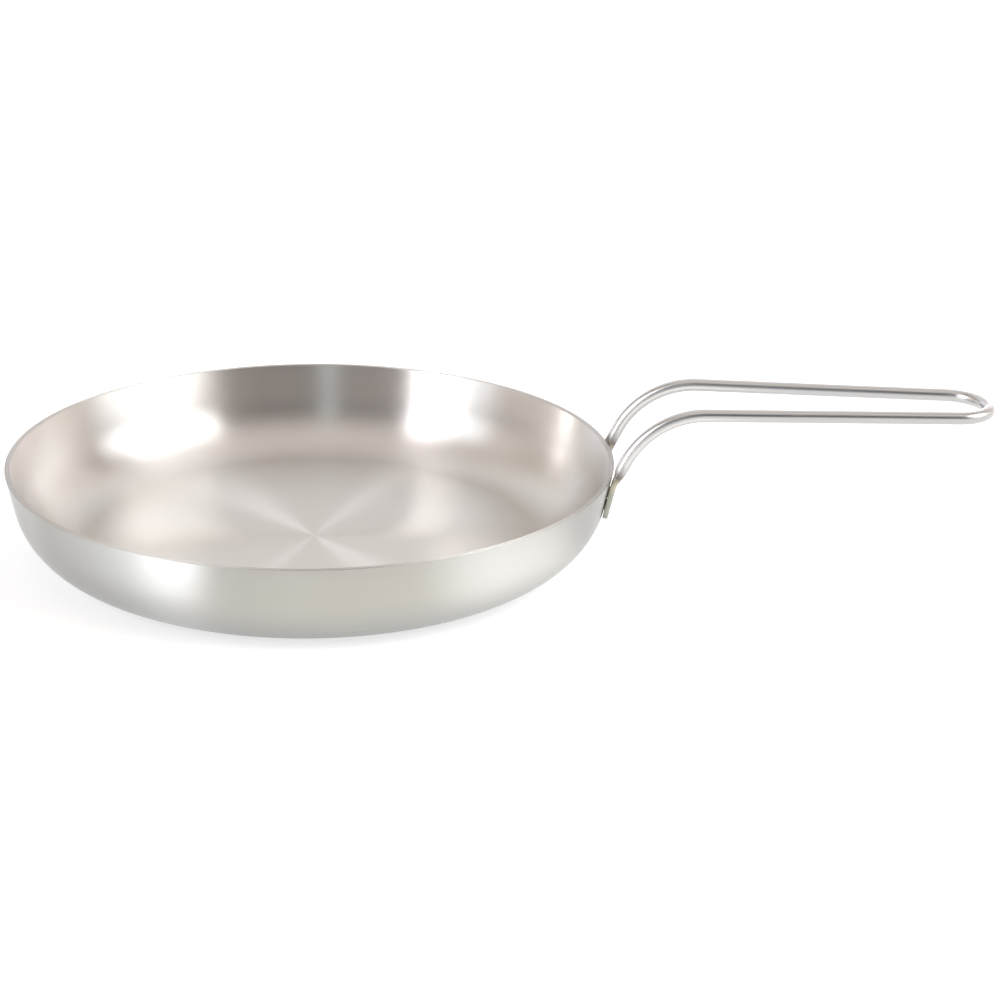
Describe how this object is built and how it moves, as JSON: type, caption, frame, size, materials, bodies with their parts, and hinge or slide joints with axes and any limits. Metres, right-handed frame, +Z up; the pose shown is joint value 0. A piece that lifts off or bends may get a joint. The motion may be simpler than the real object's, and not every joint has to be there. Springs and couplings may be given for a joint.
{
  "type": "steak serving pan",
  "caption": "Shallow round brushed-steel serving pan of clad sheet with a rounded corner, plain rim and a long bent-rod loop handle spot-welded to the wall.",
  "frame": {"origin": "centre of the base's flat underside, on the pan's axis, where the pan stands", "axes": "+X along the handle, away from the pan; +Z up, along the pan's axis; +Y completes the right-handed frame, across the handle"},
  "size_m": [0.3904, 0.24, 0.0643],
  "materials": {
    "outer_steel": "magnetic stainless steel, spun and satin brushed in rings",
    "core_aluminium": "rolled aluminium, seen only as a line in the cut rim",
    "inner_steel": "stainless steel, spun and satin brushed in rings",
    "rod_steel": "drawn stainless steel rod, polished, with flattened ends",
    "weld_steel": "fused steel with a straw heat tint"
  },
  "bodies": {
    "root": {"outer_skin": "outer_steel", "aluminium_core": "core_aluminium", "inner_lining": "inner_steel", "handle_loop": "rod_steel", "left_upper_weld": "weld_steel", "left_lower_weld": "weld_steel", "right_upper_weld": "weld_steel", "right_lower_weld": "weld_steel"}
  },
  "joints": []
}
